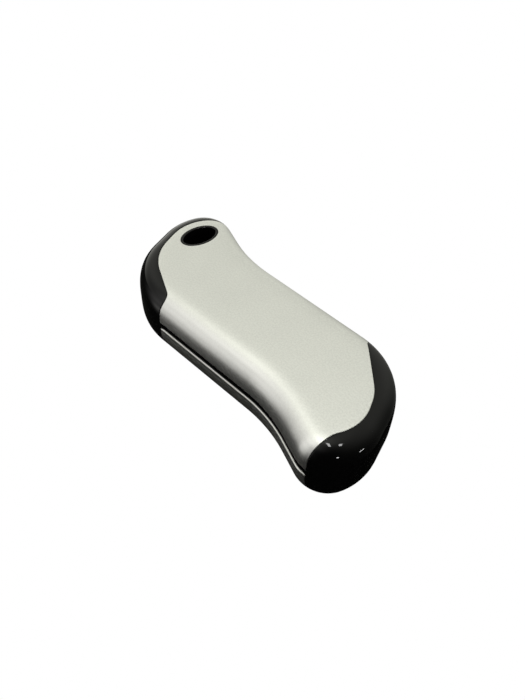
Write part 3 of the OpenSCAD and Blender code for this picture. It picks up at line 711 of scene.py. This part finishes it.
def power_button(name):
    """A flanged plunger with a shallow dish for the fingertip, drawn along +Z out of the wall."""
    rest()
    bpy.ops.mesh.primitive_cylinder_add(vertices=96, radius=BUTTON_FLANGE_R * MM,
        depth=BUTTON_FLANGE_T * MM, location=(0, 0, BUTTON_BACK * MM))
    piece = settle(name_piece(name))
    bpy.ops.object.mode_set(mode="EDIT")
    bpy.ops.mesh.select_mode(type="FACE")
    pick_faces(piece, lambda normal: normal.z > 0.9)
    bpy.ops.mesh.inset(thickness=0.8 * MM)
    bpy.ops.mesh.extrude_region_move(TRANSFORM_OT_translate={"value": (0, 0, 3.55 * MM)})
    bpy.ops.mesh.inset(thickness=0.45 * MM)
    for ring, drop in BUTTON_DISH:
        bpy.ops.mesh.inset(thickness=ring * MM)
        bpy.ops.transform.translate(value=(0, 0, -drop * MM))
    pick_faces(piece, lambda normal: normal.z < -0.9)
    bpy.ops.mesh.inset(thickness=2.5 * MM)
    bpy.ops.mesh.extrude_region_move(TRANSFORM_OT_translate={"value": (0, 0, -0.5 * MM)})
    bpy.ops.object.mode_set(mode="OBJECT")
    modify(piece, "BEVEL", width=0.14 * MM, segments=3, limit_method="ANGLE",
        angle_limit=radians(40))
    piece.data.transform(BUTTON_PLACE)
    return smooth(piece, 40)


button = power_button("button_plunger")

# ---------------------------------------------------------------- what rides where
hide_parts("top_shell")
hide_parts("bottom_shell")
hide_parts("frame")
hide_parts("lanyard_eyelet")
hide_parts("power_button")
for piece in (top_panel, bottom_panel, mid_frame, eyelet):
    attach(piece, "body")
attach(button, "button")


# ---------------------------------------------------------------- finishes
def finish_named(name):
    material = bpy.data.materials.new(name)
    material.use_nodes = True
    return material, material.node_tree.nodes, material.node_tree.links


def effect(name, inputs, outputs):
    """A new shader node group over a vector, with named sockets."""
    group = bpy.data.node_groups.new(name, "ShaderNodeTree")
    for label, kind, value in [("Vector", "Vector", None)] + inputs:
        socket = group.interface.new_socket(name=label, in_out="INPUT", socket_type="NodeSocket" + kind)
        if value is not None:
            socket.default_value = value
    for label, kind in outputs:
        group.interface.new_socket(name=label, in_out="OUTPUT", socket_type="NodeSocket" + kind)
    return group, group.nodes.new("NodeGroupInput").outputs, group.nodes.new("NodeGroupOutput").inputs


def maths(tree, operation, a, b=None, c=None):
    node = tree.nodes.new("ShaderNodeMath")
    node.operation = operation
    for socket, value in zip(node.inputs, (a, b, c)):
        feed(tree, value, socket)
    return node.outputs[0]


def feed(tree, value, socket):
    """Links a socket, or sets it to a plain value."""
    if value is None:
        return
    if isinstance(value, bpy.types.NodeSocket):
        tree.links.new(value, socket)
    else:
        socket.default_value = value


def blended(tree, share, a, b, blend="MIX"):
    """A colour between two, by a share from 0 to 1."""
    node = tree.nodes.new("ShaderNodeMix")
    node.data_type = "RGBA"
    node.blend_type = blend
    feed(tree, share, node.inputs["Factor"])
    feed(tree, a, node.inputs[6])
    feed(tree, b, node.inputs[7])
    return node.outputs[2]


def between(tree, value, low, high, to_low=0.0, to_high=1.0):
    """A value brought from one range to another, and kept inside it."""
    node = tree.nodes.new("ShaderNodeMapRange")
    for socket, item in zip(node.inputs, (value, low, high, to_low, to_high)):
        feed(tree, item, socket)
    return node.outputs["Result"]


def noise(tree, vector, scale, detail=2.0, rough=0.5, stretch=None):
    """Noise with a scale in features to the metre."""
    if stretch:
        mapping = tree.nodes.new("ShaderNodeMapping")
        mapping.inputs["Scale"].default_value = stretch
        tree.links.new(vector, mapping.inputs["Vector"])
        vector = mapping.outputs["Vector"]
    node = tree.nodes.new("ShaderNodeTexNoise")
    tree.links.new(vector, node.inputs["Vector"])
    feed(tree, scale, node.inputs["Scale"])
    node.inputs["Detail"].default_value = detail
    node.inputs["Roughness"].default_value = rough
    return node.outputs["Fac"]


# Fine grain: a mask for tone and roughness, and a height for the bump
fine_grain, given, made = effect("fine_grain",
    [("Scale", "Float", 3000.0), ("Contrast", "Float", 0.5)],
    [("Mask", "Float"), ("Height", "Float")])
coarse = noise(fine_grain, given["Vector"], given["Scale"], 2.0, 0.6)
finer = noise(fine_grain, given["Vector"], maths(fine_grain, "MULTIPLY", given["Scale"], 2.7), 1.0, 0.5)
mixed = maths(fine_grain, "MULTIPLY_ADD", coarse, 0.6, maths(fine_grain, "MULTIPLY", finer, 0.4))
fine_grain.links.new(mixed, made["Height"])
pushed = maths(fine_grain, "MULTIPLY", maths(fine_grain, "SUBTRACT", mixed, 0.5), given["Contrast"])
fine_grain.links.new(maths(fine_grain, "MULTIPLY_ADD", pushed, 6.0, 0.5), made["Mask"])

# Soft clouds: a slow drift between two colours
soft_clouds, given, made = effect("soft_clouds",
    [("Scale", "Float", 80.0), ("First", "Color", None), ("Second", "Color", None)],
    [("Color", "Color"), ("Mask", "Float")])
drift = between(soft_clouds, noise(soft_clouds, given["Vector"], given["Scale"], 2.0, 0.5), 0.36, 0.64)
soft_clouds.links.new(drift, made["Mask"])
soft_clouds.links.new(blended(soft_clouds, drift, given["First"], given["Second"]), made["Color"])

# Light dust: sparse fine specks
light_dust, given, made = effect("light_dust",
    [("Scale", "Float", 1500.0), ("Cover", "Float", 0.3)],
    [("Mask", "Float")])
specks = noise(light_dust, given["Vector"], given["Scale"], 1.0, 0.5)
wide = maths(light_dust, "MULTIPLY", given["Scale"], 0.06)
patches = noise(light_dust, given["Vector"], wide, 1.0, 0.5)
edge = maths(light_dust, "SUBTRACT", 1.02, maths(light_dust, "MULTIPLY", patches, given["Cover"]))
specks = between(light_dust, specks, edge, maths(light_dust, "ADD", edge, 0.05))
light_dust.links.new(specks, made["Mask"])

# Long streaks: rolling and drawing marks along one axis
long_streaks, given, made = effect("long_streaks",
    [("Scale", "Float", 1200.0)], [("Mask", "Float"), ("Height", "Float")])
drawn = noise(long_streaks, given["Vector"], given["Scale"], 3.0, 0.6, stretch=(0.06, 1.0, 1.0))
long_streaks.links.new(drawn, made["Height"])
long_streaks.links.new(between(long_streaks, drawn, 0.3, 0.7), made["Mask"])


def place_effect(tree, group, vector, **values):
    """Puts a group into a material with its own values."""
    node = tree.nodes.new("ShaderNodeGroup")
    node.node_tree = group
    tree.links.new(vector, node.inputs["Vector"])
    for label, value in values.items():
        feed(tree, value, node.inputs[label])
    return node.outputs


def surface(name, first, second=None, rough=(0.4, 0.5), grain=3000.0, contrast=0.5, tone=0.06,
        clouds=80.0, bump=0.15, depth=0.01, metallic=0.0, specular=0.5, streaks=0.0, dust=0.0,
        pattern=None, **constants):
    """A finish: two drifting colours, toned by a grain that also carries roughness and bump.
    Depth is the grain's height in millimetres. Pattern may repaint colour and roughness."""
    material, parts, links = finish_named(name)
    tree = material.node_tree
    shader = parts["Principled BSDF"]
    vector = parts.new("ShaderNodeTexCoord").outputs["Object"]
    second = second or tuple(c * 0.93 for c in first)
    colour = place_effect(tree, soft_clouds, vector, Scale=clouds,
        First=(*first, 1), Second=(*second, 1))["Color"]
    speckle = place_effect(tree, fine_grain, vector, Scale=grain, Contrast=contrast)
    mask, height = speckle["Mask"], speckle["Height"]
    if streaks:
        marks = place_effect(tree, long_streaks, vector, Scale=streaks)
        mask = maths(tree, "MULTIPLY_ADD", marks["Mask"], 0.6, maths(tree, "MULTIPLY", mask, 0.4))
        height = marks["Height"]
    shade = blended(tree, mask, (1 - tone, 1 - tone, 1 - tone, 1), (1, 1, 1, 1))
    colour = blended(tree, 1.0, colour, shade, "MULTIPLY")
    roughness = between(tree, mask, 0.0, 1.0, *rough)
    if pattern:
        colour, roughness, height = pattern(tree, vector, colour, roughness, height)
    if dust:
        fleck = place_effect(tree, light_dust, vector, Cover=dust)["Mask"]
        colour = blended(tree, fleck, colour, (0.45, 0.44, 0.42, 1))
        roughness = maths(tree, "MULTIPLY_ADD", fleck, 0.4, roughness)
    links.new(colour, shader.inputs["Base Color"])
    links.new(roughness, shader.inputs["Roughness"])
    relief = parts.new("ShaderNodeBump")
    relief.inputs["Strength"].default_value = bump
    relief.inputs["Distance"].default_value = depth * MM
    links.new(height, relief.inputs["Height"])
    links.new(relief.outputs["Normal"], shader.inputs["Normal"])
    shader.inputs["Metallic"].default_value = metallic
    shader.inputs["Specular IOR Level"].default_value = specular
    for label, value in constants.items():
        shader.inputs[label.replace("_", " ")].default_value = value
    return material


def serpentine(tree, vector, colour, roughness, height):
    """Etched foil track of a film heater, seen through its amber film."""
    split = tree.nodes.new("ShaderNodeSeparateXYZ")
    turned = tree.nodes.new("ShaderNodeMapping")
    turned.inputs["Rotation"].default_value = (0, 0, -TILT)
    tree.links.new(vector, turned.inputs["Vector"])
    tree.links.new(turned.outputs["Vector"], split.inputs[0])
    lanes = maths(tree, "FRACT", maths(tree, "MULTIPLY", split.outputs["Y"], 340.0))
    off_middle = maths(tree, "ABSOLUTE", maths(tree, "SUBTRACT", lanes, 0.5))
    along = maths(tree, "ABSOLUTE", maths(tree, "SUBTRACT", split.outputs["X"], PACK_X * MM))
    track = maths(tree, "MULTIPLY", between(tree, off_middle, 0.26, 0.30, 1.0, 0.0),
        between(tree, along, 0.0240, 0.0242, 1.0, 0.0))
    return (blended(tree, track, colour, (0.62, 0.34, 0.12, 1)),
        maths(tree, "MULTIPLY_ADD", track, -0.12, roughness),
        maths(tree, "MULTIPLY_ADD", track, 0.6, height))


def board_tracks(tree, vector, colour, roughness, height):
    """Copper tracks under green lacquer, with bare tinned dots."""
    cells = tree.nodes.new("ShaderNodeTexVoronoi")
    cells.distance = "MANHATTAN"
    cells.inputs["Scale"].default_value = 420
    cells.inputs["Randomness"].default_value = 0.75
    tree.links.new(vector, cells.inputs["Vector"])
    ring = maths(tree, "ABSOLUTE", maths(tree, "SUBTRACT", cells.outputs["Distance"], 0.55))
    track = between(tree, ring, 0.04, 0.07, 1.0, 0.0)
    dot = between(tree, cells.outputs["Distance"], 0.13, 0.16, 1.0, 0.0)
    colour = blended(tree, track, colour, (0.03, 0.20, 0.09, 1))
    colour = blended(tree, dot, colour, (0.75, 0.73, 0.68, 1))
    return (colour, maths(tree, "MULTIPLY_ADD", dot, -0.1, roughness),
        maths(tree, "MULTIPLY_ADD", track, 0.5, height))


satin = surface("satin_silver", (0.845, 0.853, 0.815), (0.825, 0.833, 0.797), rough=(0.3, 0.42),
    grain=1600, contrast=0.9, tone=0.1, clouds=60, bump=1, depth=0.02, metallic=1)
bright = surface("bright_edge", (0.96, 0.96, 0.94), rough=(0.18, 0.26), grain=4000, tone=0.02,
    bump=0.1, depth=0.004, metallic=1, streaks=2500)
gloss = surface("gloss_black", (0.0022, 0.0022, 0.0022), (0.0016, 0.0017, 0.0018),
    rough=(0.035, 0.065), grain=900, tone=0.2, clouds=120, bump=0.04, depth=0.02, specular=0.275)
liner = surface("liner_black", (0.003, 0.003, 0.003), rough=(0.1, 0.16), grain=1500, tone=0.2,
    bump=0.1, specular=0.3)
key_black = surface("key_black", (0.01, 0.01, 0.01), rough=(0.26, 0.34), grain=5000, tone=0.2,
    bump=0.3, depth=0.006, specular=0.4)


def dress(piece, *materials):
    """Gives a piece its finishes, the main one first."""
    piece.data.materials.clear()
    for material in materials:
        piece.data.materials.append(material)


dress(top_panel, satin, bright)
dress(bottom_panel, satin, bright)
dress(mid_frame, gloss)
dress(eyelet, liner)
dress(button, key_black)


def dress_nodes(names, *finish, **settings):
    """Makes a finish and gives it to CAD nodes."""
    material = surface(*finish, **settings)
    for name in names.split():
        for place in nodes[name].material_slots:
            place.material = material


dress_nodes("cell_a cell_b", "blue_cell_wrap", (0.045, 0.16, 0.33), (0.038, 0.14, 0.3),
    rough=(0.22, 0.3), grain=1600, tone=0.08, bump=0.2, depth=0.02, Coat_Weight=0.3,
    Coat_Roughness=0.1, dust=0.2)
dress_nodes("cell_bracket_front cell_bracket_rear", "ivory_nylon", (0.72, 0.71, 0.64),
    (0.68, 0.67, 0.6), rough=(0.42, 0.54), grain=3500, tone=0.05, bump=0.3, depth=0.012,
    Subsurface_Weight=0.05)
dress_nodes("tab_strip_front tab_strip_rear", "nickel_strip", (0.66, 0.63, 0.57), (0.6, 0.57, 0.51),
    rough=(0.22, 0.36), grain=2500, bump=0.25, depth=0.006, metallic=1, streaks=1800)
dress_nodes("cell_insulators", "fish_paper", (0.78, 0.77, 0.7), (0.72, 0.71, 0.65),
    rough=(0.75, 0.9), grain=2200, contrast=0.9, tone=0.08, bump=0.5, depth=0.03)
dress_nodes("top_heater bottom_heater", "amber_film", (0.45, 0.2, 0.035), (0.4, 0.17, 0.03),
    rough=(0.2, 0.3), grain=2000, bump=0.3, depth=0.03, Coat_Weight=0.4, Coat_Roughness=0.08,
    pattern=serpentine)
dress_nodes("top_foam_pad bottom_foam_pad", "grey_foam", (0.085, 0.085, 0.095), (0.06, 0.06, 0.07),
    rough=(0.85, 0.98), grain=1500, contrast=1.0, tone=0.35, bump=0.9, depth=0.15)
dress_nodes("control_board", "green_board", (0.012, 0.1, 0.045), (0.01, 0.085, 0.038),
    rough=(0.25, 0.34), grain=2500, tone=0.08, bump=0.25, depth=0.02, Coat_Weight=0.25,
    Coat_Roughness=0.15, pattern=board_tracks)
dress_nodes("usb_a_socket micro_usb_socket", "plated_steel", (0.68, 0.68, 0.67), (0.62, 0.62, 0.61),
    rough=(0.2, 0.32), tone=0.05, bump=0.2, depth=0.005, metallic=1, streaks=2000)
dress_nodes("usb_a_tongue", "white_plastic", (0.78, 0.78, 0.75), (0.74, 0.74, 0.71),
    rough=(0.34, 0.44), grain=3500, tone=0.04, bump=0.2)
dress_nodes("micro_usb_tongue tact_switch", "black_plastic", (0.018, 0.018, 0.019),
    (0.014, 0.014, 0.015), rough=(0.38, 0.5), grain=3500, tone=0.15, bump=0.3, depth=0.012,
    dust=0.2)
dress_nodes("switch_plunger", "ivory_acetal", (0.74, 0.7, 0.6), rough=(0.3, 0.4), tone=0.04)
dress_nodes("light_pipe", "frosted_clear", (0.9, 0.91, 0.93), (0.86, 0.88, 0.9), rough=(0.22, 0.34),
    grain=4000, tone=0.03, bump=0.2, depth=0.008, Transmission_Weight=0.55)
dress_nodes("indicator_leds", "led_resin", (0.86, 0.84, 0.7), (0.8, 0.78, 0.62), rough=(0.25, 0.35),
    grain=5000, tone=0.05, depth=0.006, Transmission_Weight=0.2)
dress_nodes("boost_inductor", "grey_ferrite", (0.045, 0.045, 0.05), (0.035, 0.035, 0.04),
    rough=(0.5, 0.65), grain=5000, contrast=0.9, tone=0.25, bump=0.5, depth=0.015)
dress_nodes("board_chips", "moulded_chip", (0.012, 0.012, 0.014), rough=(0.45, 0.6), grain=7000,
    contrast=0.9, tone=0.2, bump=0.4, depth=0.008)
dress_nodes("board_capacitors", "tan_ceramic", (0.34, 0.24, 0.14), (0.28, 0.19, 0.11),
    rough=(0.4, 0.55), grain=5000, tone=0.12, bump=0.3)
dress_nodes("board_screws", "zinc_screw", (0.62, 0.62, 0.63), (0.56, 0.56, 0.57),
    rough=(0.24, 0.38), grain=4000, tone=0.08, bump=0.3, depth=0.008, metallic=1)
dress_nodes("thermistor", "black_epoxy", (0.012, 0.012, 0.013), rough=(0.2, 0.35), grain=2500,
    tone=0.2, bump=0.3, depth=0.03)
dress_nodes("battery_leads", "red_silicone", (0.42, 0.022, 0.016), (0.36, 0.018, 0.013),
    rough=(0.42, 0.55), bump=0.25, depth=0.012)
dress_nodes("heater_leads", "lead_film", (0.48, 0.22, 0.045), (0.42, 0.19, 0.04),
    rough=(0.24, 0.34), grain=2500, bump=0.25, depth=0.02)

# ---------------------------------------------------------------- studio
PICTURE, SENSOR = 700.0, 36.0    # long side of the picture, in pixels and on the sensor
ELEVATION, AZIMUTH, ROLL = 47.508, 48.644, radians(-2.314)
DISTANCE = 246.067               # from the camera to the body's middle, in millimetres
SCALE = 2.799                    # pixels to the millimetre there
OFFSET_X, OFFSET_Y = -4.414, 10.924    # of the body's middle in the picture, in pixels


def direction(rise, turn):
    """Unit vector, in degrees above the horizon and round from +X."""
    a, b = radians(rise), radians(turn)
    return Vector((cos(a) * cos(b), cos(a) * sin(b), sin(a)))


back = direction(ELEVATION, AZIMUTH - 90)
side = direction(0, AZIMUTH)
upward = back.cross(side)
turned = Matrix((side * cos(ROLL) - upward * sin(ROLL),
    side * sin(ROLL) + upward * cos(ROLL), back)).transposed()
lens = bpy.data.cameras.new("photo_camera")
camera = bpy.data.objects.new("photo_camera", lens)
scene.collection.objects.link(camera)
eye = Vector((0, 0, MID * MM)) + back * (DISTANCE * MM)
camera.matrix_world = Matrix.Translation(eye) @ turned.to_4x4()
lens.sensor_width = SENSOR
lens.lens = DISTANCE * SCALE / PICTURE * SENSOR
lens.shift_x = -(cos(ROLL) * OFFSET_X - sin(ROLL) * OFFSET_Y) / PICTURE
lens.shift_y = -(sin(ROLL) * OFFSET_X + cos(ROLL) * OFFSET_Y) / PICTURE
lens.clip_start, lens.clip_end = 0.01, 20
scene.camera = camera

LAMP_AIM = Vector((0.055, -0.015, 0.023))    # the plain end's cap
LAMP_DISTANCE = 0.45


def spot(name, rise, turn, size, strength):
    """A small lamp seen from the plain end's cap in one direction, at a strength where 1 is white."""
    lamp = bpy.data.lights.new(name, "AREA")
    lamp.shape = "RECTANGLE"
    lamp.size, lamp.size_y = size
    lamp.energy = pi * size[0] * size[1] * strength
    holder = bpy.data.objects.new(name, lamp)
    scene.collection.objects.link(holder)
    place = LAMP_AIM + direction(rise, turn) * LAMP_DISTANCE
    holder.location = place
    holder.rotation_euler = (LAMP_AIM - place).to_track_quat("-Z", "Y").to_euler()
    holder.visible_camera = False


spot("ceiling_lamp_left", 88, 144, (0.030, 0.100), 18)
spot("ceiling_lamp_right", 74, 59, (0.062, 0.034), 18)
spot("desk_lamp", 21, -22, (0.040, 0.040), 36)
spot("tube_lamp", 0, 25, (0.055, 0.016), 40)

# Glows of the studio's walls: strength, elevation, azimuth and sharpness. Those behind, above and
# to the right stop at the lower edge of a large tilted backdrop.
LEFT_GLOWS = [
    (1.18, 10, -119, 14.6),
    (1.32, 53, -124, 12.7),
    (0.97, -20, -121, 60.0),
]
BACKDROP_GLOWS = [
    (1.42, -9, 167, 4.2),
    (1.30, 72, 161, 26.6),
    (0.76, 38, 94, 3.9),
    (0.43, 44, 176, 32.7),
]
BACKDROP_EDGE, EDGE_SOFTNESS, BACKDROP_TILT = -0.209, 0.035, (0.194, 0.6, 1.0)
BASE_GLOW, UNDER_GLOW = 0.003, 0.02
BACKDROP_TINT, WALL_TINT = (1.0, 1.005, 0.92, 1), (1.0, 0.985, 0.965, 1)


def shader_part(tree, kind, **values):
    """A shader node with these values, and its output."""
    node = tree.nodes.new("ShaderNode" + kind)
    for label, value in values.items():
        feed(tree, value, node.inputs[label])
    return node.outputs[0]


def for_rays(tree, kind, usual, special):
    """One shader for all rays but a kind, which gets another."""
    mix = tree.nodes.new("ShaderNodeMixShader")
    path = tree.nodes.new("ShaderNodeLightPath")
    for socket, value in zip(mix.inputs, (path.outputs[kind], usual, special)):
        feed(tree, value, socket)
    return mix.outputs[0]


# The floor is white to the camera, and mirrors see through it to the studio's dark lower half
rest()
bpy.ops.mesh.primitive_plane_add(size=6)
floor = name_piece("studio_floor")
material, parts, links = finish_named("pale_floor")
tree = material.node_tree
shader = parts["Principled BSDF"]
shader.inputs["Base Color"].default_value = (0.72, 0.72, 0.72, 1)
shader.inputs["Roughness"].default_value = 0.8
seen = for_rays(tree, "Is Camera Ray", shader.outputs[0], shader_part(tree, "Emission"))
seen = for_rays(tree, "Is Glossy Ray", seen, shader_part(tree, "BsdfTransparent"))
links.new(seen, parts["Material Output"].inputs["Surface"])
dress(floor, material)

world = bpy.data.worlds.new("studio_world")
scene.world = world
world.use_nodes = True
tree = world.node_tree
facing = tree.nodes.new("ShaderNodeTexCoord").outputs["Generated"]


def facing_part(way):
    """How much of a way lies along the direction that a ray takes."""
    dot = tree.nodes.new("ShaderNodeVectorMath")
    dot.operation = "DOT_PRODUCT"
    dot.inputs[1].default_value = way
    tree.links.new(facing, dot.inputs[0])
    return dot.outputs["Value"]


def glow_sum(glows):
    """Adds up soft round glows."""
    total = 0.0
    for strength, rise, turn, sharp in glows:
        power = maths(tree, "MULTIPLY_ADD", facing_part(direction(rise, turn)), sharp, -sharp)
        total = maths(tree, "MULTIPLY_ADD", maths(tree, "EXPONENT", power), strength, total)
    return total


over_edge = between(tree, facing_part(BACKDROP_TILT), BACKDROP_EDGE - EDGE_SOFTNESS,
    BACKDROP_EDGE + EDGE_SOFTNESS, UNDER_GLOW)
over_edge.node.interpolation_type = "SMOOTHSTEP"
backdrop = maths(tree, "MULTIPLY_ADD", glow_sum(BACKDROP_GLOWS), over_edge, BASE_GLOW)
sky = tree.nodes.new("ShaderNodeAddShader")
feed(tree, shader_part(tree, "Background", Color=BACKDROP_TINT, Strength=backdrop), sky.inputs[0])
wall = glow_sum(LEFT_GLOWS)
feed(tree, shader_part(tree, "Background", Color=WALL_TINT, Strength=wall), sky.inputs[1])
white = shader_part(tree, "Background", Color=(1, 1, 1, 1))
seen = for_rays(tree, "Is Camera Ray", sky.outputs[0], white)
tree.links.new(seen, tree.nodes["World Output"].inputs["Surface"])
scene.view_settings.view_transform = "Standard"
